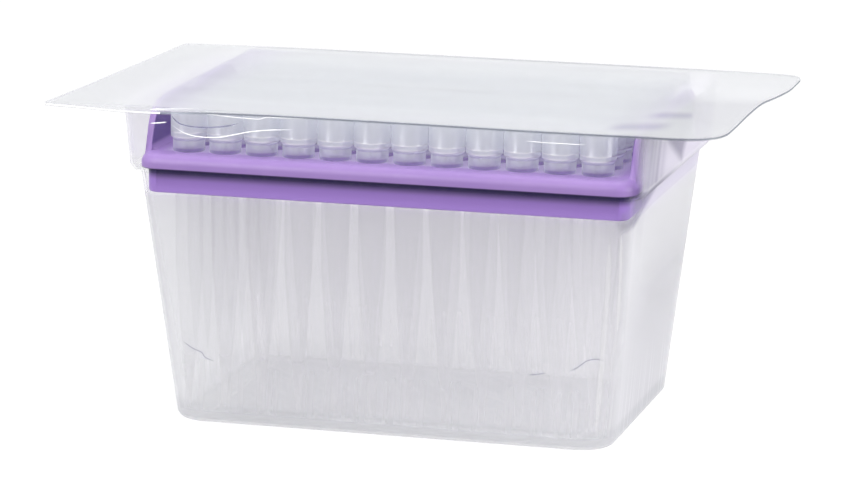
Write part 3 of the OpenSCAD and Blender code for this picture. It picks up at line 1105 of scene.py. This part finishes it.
def makePlate():
    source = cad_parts["tip_plate"]
    mesh = source.data.copy()
    mesh.transform(source.matrix_world)
    mesh.name = "tipPlate"
    work = bmesh.new()
    work.from_mesh(mesh)
    bmesh.ops.remove_doubles(work, verts=work.verts, dist=plate["merge"])
    bmesh.ops.dissolve_limit(work, angle_limit=math.radians(plate["flat"]), verts=work.verts,
                             edges=work.edges)
    bmesh.ops.recalc_face_normals(work, faces=work.faces)
    for vertex in work.verts:
        x, y, z = (abs(v) / mm for v in vertex.co)
        if x > plate["endWallFrom"] and z > plate["lipMiddle"] and (
                plate["endWallStraight"] < y < plate["endWallHalf"] + 0.1):
            rise = max(0, (z - plate["deck"]) / (plate["endWallTop"] - plate["deck"]))
            vertex.co.y += math.copysign(plate["endWallLean"] * (1 - rise) * mm, vertex.co.y)
    work.to_mesh(mesh)
    work.free()
    mesh.materials.clear()
    mesh.materials.append(platePlastic)
    smoothed(mesh, plate["sharp"])
    finishPiece(addObject("tipPlate", mesh), "plate_plastic", "tip_plate")
    print("plate ready")


makePlate()


tip = {
    "pitch": 9.0,
    "columns": 12,
    "rows": 8,
    "segments": 24,
    # radius and height, up the outside and down the bore
    "outside": [(0.42, 4.0), (0.60, 4.05), (0.66, 5.0), (0.90, 7.8), (1.12, 10.5), (2.05, 21.0),
                (3.21, 38.0), (3.26, 39.4), (3.30, 65.3), (3.65, 65.3), (3.8, 65.5),
                (3.8, 68.0), (3.8, 68.2), (3.9, 68.4), (4.25, 68.7), (4.3, 68.85), (4.3, 69.1),
                (4.3, 69.85), (4.36, 70.0), (4.3, 70.15), (4.3, 75.4), (4.22, 75.7), (4.05, 75.8)],
    "bore": [(3.82, 75.75), (3.72, 75.5), (3.55, 69.4), (3.4, 68.7), (2.82, 63.3), (2.75, 38.6),
             (1.55, 21.0), (0.62, 10.5), (0.36, 5.8), (0.32, 4.0)],
    # heights of the rings that get a painted glint, where the step under the collar catches the
    # light
    "glints": [(68.75, 69.1), (69.9, 70.15)],
}


def tipMesh():
    profile = tip["outside"] + tip["bore"]
    n = tip["segments"]
    angles = [2 * math.pi * (i + 0.5) / n for i in range(n)]
    points = [(radius * math.cos(a) * mm, radius * math.sin(a) * mm, height * mm)
              for radius, height in profile for a in angles]
    faces = []
    rows = len(profile)
    for k in range(rows):
        for i in range(n):
            j = (i + 1) % n
            up = (k + 1) % rows
            faces.append((k * n + i, k * n + j, up * n + j, up * n + i))
    mesh = bpy.data.meshes.new("oneTip")
    mesh.from_pydata(points, [], faces)
    wallRows = len(tip["outside"])

    def glints(k):
        middle = (profile[k][1] + profile[(k + 1) % rows][1]) / 2
        return k < wallRows and any(low < middle < high for low, high in tip["glints"])

    for name, test in (("bore", lambda k: k >= wallRows), ("glint", glints)):
        marks = mesh.attributes.new(name, "BOOLEAN", "FACE")
        marks.data.foreach_set("value", [test(k) for k in range(rows) for i in range(n)])
    smoothed(mesh, 50)
    return mesh


def tipTree():
    # one column: the tip stands at every place of a line of rows
    tree = bpy.data.node_groups.new("tipColumn", "GeometryNodeTree")
    face = tree.interface
    kinds = {"Tip": "Geometry", "Column Place": "Float", "Pitch": "Float", "Rows": "Int",
             "Plastic": "Material", "Bore Plastic": "Material", "Glint Plastic": "Material"}
    for name, kind in kinds.items():
        face.new_socket(name, in_out="INPUT", socket_type="NodeSocket" + kind)
    face.new_socket("Column", in_out="OUTPUT", socket_type="NodeSocketGeometry")
    start = tree.nodes.new("NodeGroupInput")
    end = tree.nodes.new("NodeGroupOutput")
    gaps = mathNode(tree, "SUBTRACT", start.outputs["Rows"], 1)
    firstRow = product(tree, gaps, start.outputs["Pitch"], -0.5)
    first = addNode(tree, "ShaderNodeCombineXYZ",
                    {"X": start.outputs["Column Place"], "Y": firstRow})
    step = addNode(tree, "ShaderNodeCombineXYZ", {"Y": start.outputs["Pitch"]})
    line = addNode(tree, "GeometryNodeMeshLine",
                   {"Count": start.outputs["Rows"], "Start Location": first.outputs[0],
                    "Offset": step.outputs[0]}, mode="OFFSET")
    stand = addNode(tree, "GeometryNodeInstanceOnPoints",
                    {"Points": line.outputs[0], "Instance": start.outputs["Tip"]})
    solid = addNode(tree, "GeometryNodeRealizeInstances", {0: stand.outputs[0]})
    painted = addNode(tree, "GeometryNodeSetMaterial",
                      {"Geometry": solid.outputs[0], "Material": start.outputs["Plastic"]})
    for mark, plastic in (("bore", "Bore Plastic"), ("glint", "Glint Plastic")):
        marked = addNode(tree, "GeometryNodeInputNamedAttribute", {"Name": mark},
                         data_type="BOOLEAN")
        painted = addNode(tree, "GeometryNodeSetMaterial",
                          {"Geometry": painted.outputs[0], "Selection": marked.outputs[0],
                           "Material": start.outputs[plastic]})
    tree.links.new(painted.outputs[0], end.inputs[0])
    return tree


def makeTips():
    tree = tipTree()
    sockets = {item.name: item.identifier for item in tree.interface.items_tree}
    single = tipMesh()
    for column in range(tip["columns"]):
        seed = addObject("seedTip", single)
        modifier = seed.modifiers.new("column", "NODES")
        modifier.node_group = tree
        place = (column - (tip["columns"] - 1) / 2) * tip["pitch"] * mm
        values = {"Column Place": place, "Pitch": tip["pitch"] * mm, "Rows": tip["rows"],
                  "Plastic": tipPlastic, "Bore Plastic": borePlastic,
                  "Glint Plastic": glintPlastic}
        for name, value in values.items():
            modifier[sockets[name]] = value
        graph = bpy.context.evaluated_depsgraph_get()
        mesh = bpy.data.meshes.new_from_object(seed.evaluated_get(graph), depsgraph=graph)
        bpy.data.objects.remove(seed)
        mesh.name = f"tipsColumn{column + 1:02d}"
        finishPiece(addObject(mesh.name, mesh), "tip_plastic", f"tips_column_{column + 1:02d}")
    print("tips ready")


makeTips()
